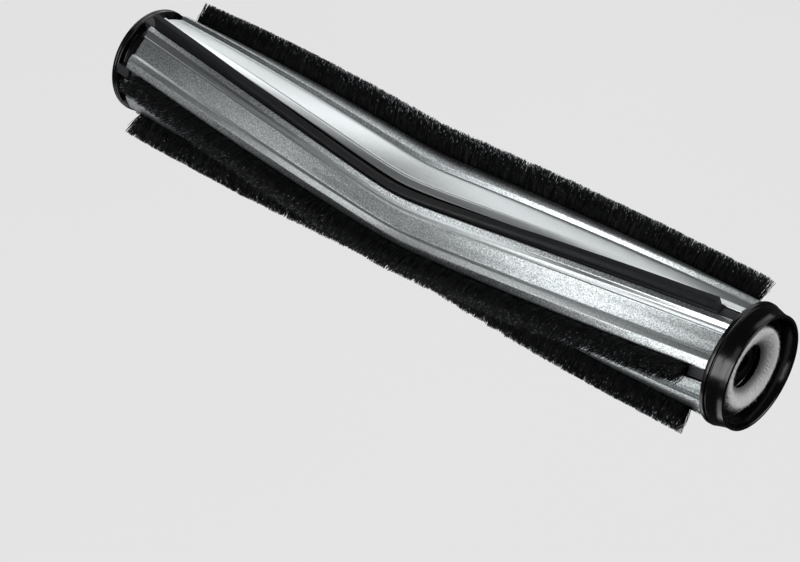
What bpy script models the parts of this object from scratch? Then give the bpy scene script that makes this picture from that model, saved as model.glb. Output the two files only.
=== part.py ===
"""Brush roller of a wet and dry floor scrubber: a twisted aluminium profile that carries bristle strips and
rubber blades, closed by two end caps. The roller lies along X with its middle at the origin.

Angles round the roller are measured from -Y towards +Z. Heights and half widths of a section are in metres,
measured from the roller's axis and from the middle line of a channel.
"""

import math

import bmesh
import bpy

MM = 0.001

# The profile and its twist: the channels run in a shallow V, with a rounded apex at mid-length.
CORE_LEFT = -132.2 * MM
CORE_RIGHT = 130.5 * MM
BORE_RADIUS = 13.6 * MM
RAIL_RADIUS = 20.25 * MM
PANEL_RADIUS = 18.2 * MM
APEX_ANGLE = 41.0
TWIST_PER_METRE = 327.5
APEX_ROUNDING = 9.0 * MM
STATIONS = [x * MM for x in (0, 5, 12, 24, 46, 68, 90, 111)]

# One channel: a T slot with a neck that is open to the outside.
NECK_HALF = 2.1 * MM
SLOT_HALF = 3.3 * MM
SLOT_FLOOR = 15.2 * MM
SLOT_ROOF = 17.6 * MM
FIT_GAP = 0.3 * MM
BLADE_CHANNELS = (0.0, 180.0)
BRISTLE_CHANNELS = (64.5, 115.5, 244.5, 295.5)

# What the channels hold.
STRIP_LEFT = -130.4 * MM
STRIP_RIGHT = 124.2 * MM
BRISTLE_TIP = 29.0 * MM
BRISTLE_TIP_HALF = 3.0 * MM
CARRIER_TOP = 18.4 * MM
BLADE_TIP = 24.6 * MM
BLADE_TIP_HALF = 1.0 * MM
BLADE_ROOT_HALF = 1.3 * MM

# The right end cap, which houses the ball bearing behind a felt ring.
HALF_LENGTH = 139.0 * MM
CAP_RADIUS = 20.0 * MM
COLLAR_RADIUS = 21.3 * MM
COLLAR_BACK = CORE_RIGHT + FIT_GAP
RECESS_FLOOR = 132.9 * MM
RECESS_RADIUS = 18.4 * MM
FELT_RADIUS = 14.0 * MM
FELT_HOLE = 7.4 * MM
FELT_FRONT = 136.4 * MM

# The bearing, of the common 8 x 22 x 7 mm size, and the bush that takes the machine's pin.
BEARING_X = 127.0 * MM
BEARING_HALF = 3.5 * MM
BEARING_OUTER = 11.0 * MM
BEARING_BORE = 4.0 * MM
PITCH_RADIUS = 7.75 * MM
BALL_RADIUS = 1.985 * MM
BALL_COUNT = 7
GROOVE_RADIUS = BALL_RADIUS + FIT_GAP
BUSH_HOLE = 3.1 * MM

# The left end cap and the socket that the drive turns.
LEFT_FLANGE = -136.4 * MM
SOCKET_RADIUS = 10.0 * MM
SOCKET_FLOOR = -124.0 * MM
SOCKET_LOBES = 6

CAP_SIDES = 48
RING_SIDES = 32


def clear_scene():
    """Removes every object of the startup scene."""
    for found in list(bpy.data.objects):
        bpy.data.objects.remove(found, do_unlink=True)


def make_material(name, color, roughness, metallic=0.0):
    """A Principled material of one colour."""
    material = bpy.data.materials.new(name)
    material.use_nodes = True
    shader = material.node_tree.nodes["Principled BSDF"]
    shader.inputs["Base Color"].default_value = (*color, 1.0)
    shader.inputs["Roughness"].default_value = roughness
    shader.inputs["Metallic"].default_value = metallic
    return material


def make_object(name, mesh, material, sharp_degrees=30.0):
    """Links a mesh to the scene as a named object with its own copy of the material."""
    mesh.materials.append(material.copy())
    mesh.shade_smooth()
    mesh.set_sharp_from_angle(angle=math.radians(sharp_degrees))
    made = bpy.data.objects.new(name, mesh)
    bpy.context.scene.collection.objects.link(made)
    return made


def twist(x):
    """How far a channel has turned at x from its place at mid-length, in degrees."""
    return TWIST_PER_METRE * (math.hypot(x, APEX_ROUNDING) - APEX_ROUNDING)


def on_circle(x, degrees, radius):
    """The point at a given angle and distance from the roller's axis."""
    turn = math.radians(degrees)
    return (x, -radius * math.cos(turn), radius * math.sin(turn))


def stations(left, right):
    """Positions along the roller from left to right, shared by every twisted piece."""
    inner = sorted({-x for x in STATIONS} | set(STATIONS))
    return [left] + [x for x in inner if left < x < right] + [right]


def channel_point(degrees, half, height):
    """Polar form (degrees, radius) of a point given across and up from a channel's middle line."""
    return (degrees + math.degrees(math.atan2(half, height)), math.hypot(half, height))


def sweep_twisted(name, outline, left, right, hole=None):
    """Runs a polar outline along the roller, following the twist, and closes both ends.

    A hole is a second polar outline that stays open at both ends.
    """
    mesh = bmesh.new()
    rings = []
    for x in stations(left, right):
        turn = APEX_ANGLE + twist(x)
        loops = []
        for loop in (outline, hole):
            if loop:
                loops.append([mesh.verts.new(on_circle(x, turn + a, r)) for a, r in loop])
        rings.append(loops)
    for one, two in zip(rings, rings[1:]):
        for first, second in zip(one, two):
            count = len(first)
            for i in range(count):
                j = (i + 1) % count
                mesh.faces.new((first[i], first[j], second[j], second[i]))
    for loops in (rings[0], rings[-1]):
        edges = []
        for loop in loops:
            for i, vert in enumerate(loop):
                edges.append(mesh.edges.get((vert, loop[(i + 1) % len(loop)])))
        bmesh.ops.triangle_fill(mesh, use_beauty=True, edges=edges)
    bmesh.ops.recalc_face_normals(mesh, faces=mesh.faces)
    made = bpy.data.meshes.new(name)
    mesh.to_mesh(made)
    mesh.free()
    return made


def turn_profile(name, profile, sides, start=0.0, sweep=360.0):
    """Turns a closed (x, radius) profile round the roller's axis. Points at radius 0 become poles."""
    mesh = bmesh.new()
    full = sweep == 360.0
    steps = sides if full else sides + 1
    columns = []
    poles = {}
    for k in range(steps):
        degrees = start + sweep * k / sides
        column = []
        for x, radius in profile:
            if radius == 0.0:
                if x not in poles:
                    poles[x] = mesh.verts.new((x, 0.0, 0.0))
                column.append(poles[x])
            else:
                column.append(mesh.verts.new(on_circle(x, degrees, radius)))
        columns.append(column)
    for k in range(sides):
        one = columns[k]
        two = columns[(k + 1) % steps]
        for i in range(len(profile)):
            j = (i + 1) % len(profile)
            corners = []
            for vert in (one[i], one[j], two[j], two[i]):
                if vert not in corners:
                    corners.append(vert)
            if len(corners) > 2:
                mesh.faces.new(corners)
    if not full:
        mesh.faces.new(columns[0])
        mesh.faces.new(columns[-1])
    bmesh.ops.recalc_face_normals(mesh, faces=mesh.faces)
    made = bpy.data.meshes.new(name)
    mesh.to_mesh(made)
    mesh.free()
    return made


def join_by_union(base, name, mesh):
    """Welds a helper mesh onto an object with a Boolean union."""
    helper = bpy.data.objects.new(name, mesh)
    bpy.context.scene.collection.objects.link(helper)
    helper.hide_render = True
    helper.display_type = "WIRE"
    union = base.modifiers.new(name, "BOOLEAN")
    union.operation = "UNION"
    union.object = helper


def cut_away(base, name, mesh):
    """Cuts a helper mesh out of an object."""
    helper = bpy.data.objects.new(name, mesh)
    bpy.context.scene.collection.objects.link(helper)
    helper.hide_render = True
    helper.display_type = "WIRE"
    cut = base.modifiers.new(name, "BOOLEAN")
    cut.operation = "DIFFERENCE"
    cut.object = helper


def slot_outline(degrees):
    """The eight corners of one T slot, in the order of rising angle."""
    corners = (
        (-NECK_HALF, RAIL_RADIUS),
        (-NECK_HALF, SLOT_ROOF),
        (-SLOT_HALF, SLOT_ROOF),
        (-SLOT_HALF, SLOT_FLOOR),
        (SLOT_HALF, SLOT_FLOOR),
        (SLOT_HALF, SLOT_ROOF),
        (NECK_HALF, SLOT_ROOF),
        (NECK_HALF, RAIL_RADIUS),
    )
    return [channel_point(degrees, half, height) for half, height in corners]


def core_outline():
    """The profile's outer outline: six channels with raised rails and sunken panels between them.

    The roller looks the same after half a turn, so three panels are described and then repeated.
    """
    hollow_panel = [
        (16.0, RAIL_RADIUS),
        (17.5, RAIL_RADIUS - 1.0 * MM),
        (23.0, PANEL_RADIUS + 0.05 * MM),
        (31.5, PANEL_RADIUS - 0.25 * MM),
        (40.2, PANEL_RADIUS + 0.2 * MM),
        (42.0, RAIL_RADIUS),
    ]
    narrow_panel = [
        (88.0, RAIL_RADIUS),
        (89.8, PANEL_RADIUS),
        (103.5, PANEL_RADIUS),
        (105.0, RAIL_RADIUS),
    ]
    flat_panel = [
        (131.0, RAIL_RADIUS),
        (138.5, PANEL_RADIUS),
        (159.5, PANEL_RADIUS - 0.1 * MM),
        (160.5, RAIL_RADIUS - 1.3 * MM),
        (165.0, RAIL_RADIUS - 1.1 * MM),
        (168.0, RAIL_RADIUS),
    ]
    outline = []
    for half_turn in (0.0, 180.0):
        outline += slot_outline(half_turn)
        outline += [(half_turn + a, r) for a, r in hollow_panel]
        outline += slot_outline(half_turn + BRISTLE_CHANNELS[0])
        outline += [(half_turn + a, r) for a, r in narrow_panel]
        outline += slot_outline(half_turn + BRISTLE_CHANNELS[1])
        outline += [(half_turn + a, r) for a, r in flat_panel]
    return outline


def build_core(material):
    """The twisted aluminium profile, one tube with an open bore."""
    bore = [(15.0 * k, BORE_RADIUS) for k in range(24)]
    mesh = sweep_twisted("core_profile", core_outline(), CORE_LEFT, CORE_RIGHT, hole=bore)
    return make_object("core_profile", mesh, material)


def slot_foot():
    """Half width and height of the T foot that slides in a channel, from its floor up to the neck."""
    return [
        (SLOT_HALF - FIT_GAP, SLOT_FLOOR + FIT_GAP),
        (SLOT_HALF - FIT_GAP, SLOT_ROOF - FIT_GAP),
        (NECK_HALF - FIT_GAP, SLOT_ROOF - FIT_GAP),
    ]


def strip_mesh(name, side, channel):
    """Sweeps a strip whose right side is given as (half width, height) points, mirrored to the left."""
    corners = side + [(-half, height) for half, height in reversed(side)]
    outline = [channel_point(channel, half, height) for half, height in corners]
    return sweep_twisted(name, outline, STRIP_LEFT, STRIP_RIGHT)


def build_bristle_strips(carrier_material, pile_material):
    """Four plastic carriers, each with the pile of bristles that is tufted into it."""
    foot = slot_foot()
    carrier_side = foot + [(NECK_HALF - FIT_GAP, CARRIER_TOP)]
    pile_side = [
        (1.75 * MM, CARRIER_TOP + FIT_GAP),
        (1.85 * MM, RAIL_RADIUS + 0.4 * MM),
        (BRISTLE_TIP_HALF, BRISTLE_TIP - 0.4 * MM),
        (BRISTLE_TIP_HALF * 0.55, BRISTLE_TIP),
    ]
    for number, channel in enumerate(BRISTLE_CHANNELS, start=1):
        carrier = f"bristle_carrier_{number}"
        make_object(carrier, strip_mesh(carrier, carrier_side, channel), carrier_material)
        pile = f"bristle_pile_{number}"
        make_object(pile, strip_mesh(pile, pile_side, channel), pile_material)


def build_rubber_blades(material):
    """Two wiper blades, each moulded in one piece with the foot that slides in its channel."""
    side = slot_foot() + [
        (NECK_HALF - FIT_GAP, RAIL_RADIUS - 0.7 * MM),
        (BLADE_ROOT_HALF, RAIL_RADIUS),
        (BLADE_TIP_HALF, BLADE_TIP - 0.2 * MM),
        (BLADE_TIP_HALF - 0.2 * MM, BLADE_TIP),
    ]
    for number, channel in enumerate(BLADE_CHANNELS, start=1):
        name = f"rubber_blade_{number}"
        make_object(name, strip_mesh(name, side, channel), material)


def add_channel_keys(cap, left, right):
    """Welds six keys onto a cap, which fill the ends of the channels and turn the cap with the profile."""
    half = NECK_HALF - FIT_GAP
    corners = (
        (-half, SLOT_FLOOR + FIT_GAP),
        (half, SLOT_FLOOR + FIT_GAP),
        (half, RAIL_RADIUS - 0.6 * MM),
        (-half, RAIL_RADIUS - 0.6 * MM),
    )
    for number, channel in enumerate(sorted(BLADE_CHANNELS + BRISTLE_CHANNELS), start=1):
        outline = [channel_point(channel, across, height) for across, height in corners]
        name = f"{cap.name}_key_{number}"
        join_by_union(cap, name, sweep_twisted(name, outline, left, right))


def build_right_cap(material):
    """The cap with the deep recess: a bearing cup, a collar against the profile and a rounded lip."""
    cup = BORE_RADIUS - FIT_GAP
    seat = BEARING_OUTER + FIT_GAP
    seat_floor = BEARING_X - BEARING_HALF - FIT_GAP
    clip_back = BEARING_X + BEARING_HALF + 0.05 * MM
    clip_front = clip_back + 1.6 * MM
    profile = [
        (seat_floor - 1.4 * MM, 9.4 * MM),
        (seat_floor - 1.4 * MM, cup),
        (COLLAR_BACK, cup),
        (COLLAR_BACK, COLLAR_RADIUS - 0.5 * MM),
        (COLLAR_BACK + 0.4 * MM, COLLAR_RADIUS),
        (COLLAR_BACK + 1.7 * MM, COLLAR_RADIUS),
        (COLLAR_BACK + 2.0 * MM, COLLAR_RADIUS - 0.6 * MM),
        (COLLAR_BACK + 2.5 * MM, COLLAR_RADIUS - 0.4 * MM),
        (HALF_LENGTH - 2.6 * MM, CAP_RADIUS - 0.1 * MM),
        (HALF_LENGTH - 1.0 * MM, CAP_RADIUS),
        (HALF_LENGTH - 0.3 * MM, CAP_RADIUS - 0.25 * MM),
        (HALF_LENGTH, CAP_RADIUS - 0.6 * MM),
        (HALF_LENGTH, RECESS_RADIUS + 0.4 * MM),
        (HALF_LENGTH - 0.4 * MM, RECESS_RADIUS),
        (RECESS_FLOOR, RECESS_RADIUS - 0.5 * MM),
        (RECESS_FLOOR, seat),
        (clip_front, seat),
        (clip_front, seat + 0.9 * MM),
        (clip_back, seat + 0.9 * MM),
        (clip_back, seat),
        (seat_floor, seat),
        (seat_floor, 9.4 * MM),
    ]
    cap = make_object("right_end_cap", turn_profile("right_end_cap", profile, CAP_SIDES), material)
    add_channel_keys(cap, STRIP_RIGHT + FIT_GAP, COLLAR_BACK + 0.5 * MM)


def build_left_cap(material):
    """The cap on the driven end: a thin flange, a shoulder against the profile and a boss in its bore."""
    boss = BORE_RADIUS - FIT_GAP
    shoulder = CORE_LEFT - FIT_GAP
    pocket = SOCKET_RADIUS + FIT_GAP
    profile = [
        (SOCKET_FLOOR, 0.0),
        (SOCKET_FLOOR, pocket),
        (-HALF_LENGTH + 1.4 * MM, pocket),
        (-HALF_LENGTH + 1.4 * MM, CAP_RADIUS - 2.3 * MM),
        (-HALF_LENGTH, CAP_RADIUS - 1.8 * MM),
        (-HALF_LENGTH, CAP_RADIUS - 0.6 * MM),
        (-HALF_LENGTH + 0.5 * MM, CAP_RADIUS),
        (LEFT_FLANGE - 0.4 * MM, CAP_RADIUS),
        (LEFT_FLANGE, CAP_RADIUS - 0.4 * MM),
        (LEFT_FLANGE, CAP_RADIUS - 2.6 * MM),
        (shoulder, CAP_RADIUS - 2.8 * MM),
        (shoulder, boss),
        (SOCKET_FLOOR + 2.5 * MM, boss),
        (SOCKET_FLOOR + 2.5 * MM, 0.0),
    ]
    cap = make_object("left_end_cap", turn_profile("left_end_cap", profile, CAP_SIDES), material)
    add_channel_keys(cap, LEFT_FLANGE - 0.5 * MM, STRIP_LEFT - FIT_GAP)


def build_drive_socket(material):
    """The lobed socket insert that the machine's drive dog turns."""
    mesh = bmesh.new()
    steps = 4 * SOCKET_LOBES
    lobe_radii = (8.2 * MM, 8.2 * MM, 6.4 * MM, 6.4 * MM)
    ends = (-HALF_LENGTH + 1.2 * MM, SOCKET_FLOOR - FIT_GAP)
    rings = []
    for x in ends:
        outer = [mesh.verts.new(on_circle(x, 360.0 * k / steps, SOCKET_RADIUS)) for k in range(steps)]
        inner = [mesh.verts.new(on_circle(x, 360.0 * k / steps, lobe_radii[k % 4])) for k in range(steps)]
        rings.append((outer, inner))
    (outer_a, inner_a), (outer_b, inner_b) = rings
    for k in range(steps):
        j = (k + 1) % steps
        mesh.faces.new((outer_a[k], outer_a[j], outer_b[j], outer_b[k]))
        mesh.faces.new((inner_a[k], inner_a[j], inner_b[j], inner_b[k]))
        mesh.faces.new((outer_a[k], outer_a[j], inner_a[j], inner_a[k]))
        mesh.faces.new((outer_b[k], outer_b[j], inner_b[j], inner_b[k]))
    bmesh.ops.recalc_face_normals(mesh, faces=mesh.faces)
    made = bpy.data.meshes.new("drive_socket")
    mesh.to_mesh(made)
    mesh.free()
    make_object("drive_socket", made, material)


def build_felt_ring(material):
    """The felt washer that keeps dirt out of the bearing, with a dished front."""
    back = RECESS_FLOOR + FIT_GAP
    profile = [
        (back, FELT_HOLE),
        (back, FELT_RADIUS),
        (FELT_FRONT - 0.7 * MM, FELT_RADIUS),
        (FELT_FRONT, FELT_RADIUS - 0.8 * MM),
        (FELT_FRONT - 0.2 * MM, FELT_RADIUS - 2.6 * MM),
        (FELT_FRONT - 1.8 * MM, FELT_HOLE + 0.8 * MM),
        (FELT_FRONT - 2.6 * MM, FELT_HOLE),
    ]
    make_object("felt_ring", turn_profile("felt_ring", profile, CAP_SIDES), material)


def race_groove(sign):
    """Points of a bearing race along X, bulging away from (+1) or towards (-1) the axis."""
    points = []
    for across in (-1.6, -1.0, 0.0, 1.0, 1.6):
        depth = math.sqrt(max(GROOVE_RADIUS**2 - (across * MM) ** 2, 0.0))
        points.append((BEARING_X + across * MM, PITCH_RADIUS + sign * depth))
    return points


def build_bearing_rings(material):
    """The bearing's outer and inner ring, each with its ball race."""
    left = BEARING_X - BEARING_HALF
    right = BEARING_X + BEARING_HALF
    land_out = race_groove(1)[0][1]
    land_in = race_groove(-1)[0][1]
    outer = [(left, land_out), (left, BEARING_OUTER), (right, BEARING_OUTER), (right, land_out)]
    outer += list(reversed(race_groove(1)))
    inner = [(right, land_in), (right, BEARING_BORE), (left, BEARING_BORE), (left, land_in)]
    inner += race_groove(-1)
    for name, profile in (("bearing_outer_ring", outer), ("bearing_inner_ring", inner)):
        make_object(name, turn_profile(name, profile, RING_SIDES), material)


def build_balls(material):
    """Seven balls on the pitch circle."""
    for number in range(BALL_COUNT):
        name = f"bearing_ball_{number + 1}"
        mesh = bmesh.new()
        bmesh.ops.create_icosphere(mesh, subdivisions=2, radius=BALL_RADIUS)
        made = bpy.data.meshes.new(name)
        mesh.to_mesh(made)
        mesh.free()
        ball = make_object(name, made, material, sharp_degrees=180.0)
        ball.location = on_circle(BEARING_X, 360.0 * number / BALL_COUNT, PITCH_RADIUS)


def build_cage(material):
    """The ring that spaces the balls, with a round window for each."""
    half = 2.75 * MM
    profile = [
        (BEARING_X - half, 7.3 * MM),
        (BEARING_X - half, 8.2 * MM),
        (BEARING_X + half, 8.2 * MM),
        (BEARING_X + half, 7.3 * MM),
    ]
    cage = make_object("bearing_cage", turn_profile("bearing_cage", profile, 7 * 6), material)
    for number in range(BALL_COUNT):
        name = f"cage_window_{number + 1}"
        mesh = bmesh.new()
        bmesh.ops.create_cone(
            mesh,
            cap_ends=True,
            segments=12,
            radius1=GROOVE_RADIUS,
            radius2=GROOVE_RADIUS,
            depth=4.0 * MM,
        )
        made = bpy.data.meshes.new(name)
        mesh.to_mesh(made)
        mesh.free()
        degrees = 360.0 * number / BALL_COUNT
        cut_away(cage, name, made)
        window = bpy.data.objects[name]
        window.location = on_circle(BEARING_X, degrees, PITCH_RADIUS)
        window.rotation_euler = (math.radians(90.0 - degrees), 0.0, 0.0)


def build_shields(material):
    """Two thin shields that close the bearing between its rings."""
    for name, x in (("bearing_shield_left", -3.4), ("bearing_shield_right", 3.1)):
        left = BEARING_X + x * MM
        right = left + 0.3 * MM
        profile = [(left, 6.5 * MM), (left, 9.1 * MM), (right, 9.1 * MM), (right, 6.5 * MM)]
        make_object(name, turn_profile(name, profile, RING_SIDES), material)


def build_retaining_ring(material):
    """The open spring ring that holds the bearing in its cup."""
    back = BEARING_X + BEARING_HALF + 0.35 * MM
    front = back + 1.0 * MM
    profile = [(back, 9.6 * MM), (back, 11.9 * MM), (front, 11.9 * MM), (front, 9.6 * MM)]
    mesh = turn_profile("retaining_ring", profile, 24, start=20.0, sweep=320.0)
    make_object("retaining_ring", mesh, material)


def build_bush(material):
    """The steel bush in the bearing's bore, with a blind hole for the machine's pin."""
    body = BEARING_BORE - FIT_GAP
    back = BEARING_X - BEARING_HALF - 0.5 * MM
    collar = BEARING_X + BEARING_HALF + FIT_GAP
    front = collar + 1.0 * MM
    profile = [
        (back, 0.0),
        (back, body),
        (collar, body),
        (collar, 5.6 * MM),
        (front, 5.6 * MM),
        (front, BUSH_HOLE),
        (back + 1.5 * MM, BUSH_HOLE),
        (back + 1.5 * MM, 0.0),
    ]
    make_object("bearing_bush", turn_profile("bearing_bush", profile, 24), material)


def build_roller():
    """Builds every piece of the roller."""
    aluminium = make_material("aluminium", (0.78, 0.79, 0.80), 0.28, 1.0)
    gloss_black = make_material("gloss_black_plastic", (0.012, 0.012, 0.014), 0.22)
    dark_plastic = make_material("dark_grey_plastic", (0.06, 0.065, 0.07), 0.5)
    bristle = make_material("black_bristle", (0.012, 0.014, 0.018), 0.6)
    rubber = make_material("dark_rubber", (0.05, 0.052, 0.055), 0.62)
    felt = make_material("white_felt", (0.72, 0.72, 0.72), 0.95)
    steel = make_material("bearing_steel", (0.62, 0.63, 0.65), 0.25, 1.0)
    nylon = make_material("grey_nylon", (0.30, 0.31, 0.32), 0.5)
    build_core(aluminium)
    build_bristle_strips(dark_plastic, bristle)
    build_rubber_blades(rubber)
    build_right_cap(gloss_black)
    build_left_cap(gloss_black)
    build_drive_socket(dark_plastic)
    build_felt_ring(felt)
    build_bearing_rings(steel)
    build_balls(steel)
    build_cage(nylon)
    build_shields(steel)
    build_retaining_ring(steel)
    build_bush(steel)


clear_scene()
build_roller()
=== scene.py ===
"""Looks of a floor scrubber's brush roller, piece by piece in the order in which it is put together.

The roller lies along X. Angles round it are measured from -Y towards +Z, and lengths are in metres.
"""

import math

import bmesh
import bpy
import numpy as np
from mathutils import Matrix, Vector


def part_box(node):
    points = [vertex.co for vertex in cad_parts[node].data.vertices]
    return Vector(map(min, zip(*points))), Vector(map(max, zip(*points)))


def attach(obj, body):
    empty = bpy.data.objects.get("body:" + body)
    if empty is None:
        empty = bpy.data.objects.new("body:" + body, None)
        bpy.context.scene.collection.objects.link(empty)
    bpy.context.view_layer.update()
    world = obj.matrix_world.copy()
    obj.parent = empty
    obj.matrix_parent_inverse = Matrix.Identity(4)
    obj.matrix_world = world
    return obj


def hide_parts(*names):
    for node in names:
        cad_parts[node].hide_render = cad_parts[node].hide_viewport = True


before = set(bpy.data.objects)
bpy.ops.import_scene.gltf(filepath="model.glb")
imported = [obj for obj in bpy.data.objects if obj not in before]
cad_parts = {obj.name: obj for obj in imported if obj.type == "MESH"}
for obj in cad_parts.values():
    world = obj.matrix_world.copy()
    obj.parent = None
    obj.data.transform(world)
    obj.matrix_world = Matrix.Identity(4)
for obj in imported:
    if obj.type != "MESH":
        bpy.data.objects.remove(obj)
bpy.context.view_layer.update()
MM = 0.001


# ------------------------------------------------------------
# Core profile. One piece of bright aluminium, drawn with six T channels and twisted into a shallow V. The
# channels' rails stand proud, two wide panels are blasted to a fine grain and two are polished hollows. It
# is the backbone that every other piece is pressed or slid into.
# ------------------------------------------------------------
CORE_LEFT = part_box("core_profile")[0].x
CORE_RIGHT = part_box("core_profile")[1].x
BORE_RADIUS = 13.6 * MM
RAIL_RADIUS = 20.25 * MM
PANEL_RADIUS = 18.2 * MM
APEX_ANGLE = 41.0
TWIST_PER_METRE = 327.5
APEX_ROUNDING = 9.0 * MM
NECK_HALF = 2.1 * MM
SLOT_HALF = 3.3 * MM
SLOT_FLOOR = 15.2 * MM
SLOT_ROOF = 17.6 * MM
CHAMFER = 0.3 * MM
BLADE_CHANNELS = (0.0, 180.0)
BRISTLE_CHANNELS = (64.5, 115.5, 244.5, 295.5)


def twist(x):
    """Turn of a channel at x in degrees: a hyperbola in x, straight on both arms and rounded at the apex."""
    return TWIST_PER_METRE * (np.hypot(x, APEX_ROUNDING) - APEX_ROUNDING)


def around(x, degrees, radius):
    """Points (x, -r cos a, r sin a) at an angle a and a distance r from the axis, for whole arrays."""
    turn = np.radians(degrees)
    x, turn, radius = np.broadcast_arrays(x, turn, radius)
    return np.stack([x, -radius * np.cos(turn), radius * np.sin(turn)], axis=-1)


def in_channel(channel, half, height):
    """Angle and radius of points given across and up from a channel's middle line."""
    return channel + np.degrees(np.arctan2(half, height)), np.hypot(half, height)


def add_object(name, data):
    """A new object that holds a mesh, a lamp or a camera, linked into the scene."""
    made = bpy.data.objects.new(name, data)
    bpy.context.scene.collection.objects.link(made)
    return made


def grid_object(name, points, close_rows=False, close_columns=False, smooth=True):
    """A mesh object over a grid of points, rows by columns, closed in either direction where asked.

    Points that fall together, as at a pole, are merged, and the faces are turned to point outwards.
    """
    rows, columns = points.shape[:2]
    numbers = np.arange(rows * columns).reshape(rows, columns)
    if close_rows:
        numbers = np.vstack([numbers, numbers[:1]])
    if close_columns:
        numbers = np.hstack([numbers, numbers[:, :1]])
    corners = (numbers[:-1, :-1], numbers[1:, :-1], numbers[1:, 1:], numbers[:-1, 1:])
    faces = np.stack(corners, axis=-1).reshape(-1, 4)
    mesh = bpy.data.meshes.new(name)
    mesh.from_pydata(points.reshape(-1, 3).tolist(), [], faces.tolist())
    tidy = bmesh.new()
    tidy.from_mesh(mesh)
    bmesh.ops.remove_doubles(tidy, verts=tidy.verts, dist=1e-7)
    bmesh.ops.recalc_face_normals(tidy, faces=tidy.faces)
    tidy.to_mesh(mesh)
    tidy.free()
    mesh.polygons.foreach_set("use_smooth", np.full(len(mesh.polygons), smooth))
    return add_object(name, mesh)


def fill_open_ends(made):
    """Closes the flat open ends of a swept mesh with triangles between their edge loops."""
    work = bmesh.new()
    work.from_mesh(made.data)
    rim = [edge for edge in work.edges if edge.is_boundary]
    for end in (min, max):
        place = end(edge.verts[0].co.x for edge in rim)
        loop = [edge for edge in rim if abs(edge.verts[0].co.x - place) < 1e-6]
        bmesh.ops.triangle_fill(work, use_beauty=True, edges=loop)
    bmesh.ops.recalc_face_normals(work, faces=work.faces)
    work.to_mesh(made.data)
    work.free()


def curve_corners(corner, rounding, steps):
    """A closed flat outline with every corner replaced by a quadratic curve of a few steps.

    With start s, corner c and end e a curve is (1 - t)^2 s + 2 t (1 - t) c + t^2 e. Its ends lie on the
    corner's two sides at the rounding distance, or at 45% of the shorter side.
    """
    before = np.roll(corner, 1, axis=0) - corner
    after = np.roll(corner, -1, axis=0) - corner
    length_before = np.linalg.norm(before, axis=1, keepdims=True)
    length_after = np.linalg.norm(after, axis=1, keepdims=True)
    reach = np.minimum(rounding[:, None], 0.45 * np.minimum(length_before, length_after))
    start = corner + before / length_before * reach
    end = corner + after / length_after * reach
    t = np.linspace(0.0, 1.0, steps)[None, :, None]
    curve = (1 - t) ** 2 * start[:, None] + 2 * t * (1 - t) * corner[:, None] + t**2 * end[:, None]
    return curve.reshape(-1, 2)


def round_corners(angles, radii, rounding):
    """A closed polar outline with every corner rounded."""
    turn = np.radians(angles)
    corner = np.stack([radii * np.cos(turn), radii * np.sin(turn)], axis=-1)
    curve = curve_corners(corner, rounding, steps=5)
    return np.degrees(np.arctan2(curve[:, 1], curve[:, 0])), np.hypot(curve[:, 0], curve[:, 1])


class Signal:
    """One socket of a material, on which arithmetic adds Math nodes."""

    def __init__(self, paint, socket):
        self.paint = paint
        self.socket = socket

    def math(self, operation, *values):
        """A Math node over the given values or signals."""
        inputs = dict(enumerate(values))
        return self.paint.add("ShaderNodeMath", {"operation": operation}, inputs)

    def __add__(self, other):
        return self.math("ADD", self, other)

    def __mul__(self, other):
        return self.math("MULTIPLY", self, other)

    __radd__ = __add__
    __rmul__ = __mul__

    def between(self, low, high):
        """0 below low and 1 above high, with a smooth rise between them."""
        settings = {"interpolation_type": "SMOOTHSTEP"}
        return self.paint.add("ShaderNodeMapRange", settings, {"Value": self, 1: low, 2: high})


class Paint:
    """A material with one Principled shader, built up from nodes."""

    def __init__(self, name, **constants):
        self.material = bpy.data.materials.new(name)
        self.material.use_nodes = True
        self.tree = self.material.node_tree
        self.shader = self.tree.nodes["Principled BSDF"]
        for socket, value in constants.items():
            self.shader.inputs[socket.replace("_", " ")].default_value = value

    def add(self, kind, settings, inputs, output=0):
        """Adds a node of a kind: its settings are set first, then the values or links of its sockets."""
        node = self.tree.nodes.new(kind)
        for name, value in settings.items():
            setattr(node, name, value)
        for key, value in inputs.items():
            if isinstance(value, Signal):
                self.tree.links.new(value.socket, node.inputs[key])
            else:
                node.inputs[key].default_value = value
        return Signal(self, node.outputs[output])

    def place(self):
        """The piece's own Object coordinates."""
        return self.add("ShaderNodeTexCoord", {}, {}, "Object")

    def noise(self, scale, detail=3.0, roughness=0.5, place=None):
        """Fractal noise from 0 to 1, with scale in features per metre."""
        inputs = {
            "Vector": place or self.place(),
            "Scale": scale,
            "Detail": detail,
            "Roughness": roughness,
        }
        return self.add("ShaderNodeTexNoise", {}, inputs)

    def noise_over(self, signal, scale, detail, roughness):
        """Fractal noise from 0 to 1 over one signal, with scale in features per unit of it."""
        inputs = {"W": signal, "Scale": scale, "Detail": detail, "Roughness": roughness}
        return self.add("ShaderNodeTexNoise", {"noise_dimensions": "1D"}, inputs)

    def stretched(self, x, y, z):
        """Object coordinates multiplied by a factor along each axis."""
        return self.add("ShaderNodeMapping", {}, {"Vector": self.place(), "Scale": (x, y, z)})

    def attribute(self, name):
        """A number that the mesh carries at each point."""
        return self.add("ShaderNodeAttribute", {"attribute_name": name}, {}, "Fac")

    def blend(self, factor, first, second):
        """A colour that goes from the first to the second as the factor goes from 0 to 1."""
        inputs = {0: factor, 6: first, 7: second}
        return self.add("ShaderNodeMix", {"data_type": "RGBA"}, inputs, 2)

    def bump(self, height, distance, strength=1.0):
        """Feeds the shader's normal from a height signal that is distance deep at height 1."""
        inputs = {"Height": height, "Distance": distance, "Strength": strength}
        self.feed("Normal", self.add("ShaderNodeBump", {}, inputs))

    def feed(self, socket, signal):
        """Links a signal to one of the shader's sockets."""
        self.tree.links.new(signal.socket, self.shader.inputs[socket])


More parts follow.
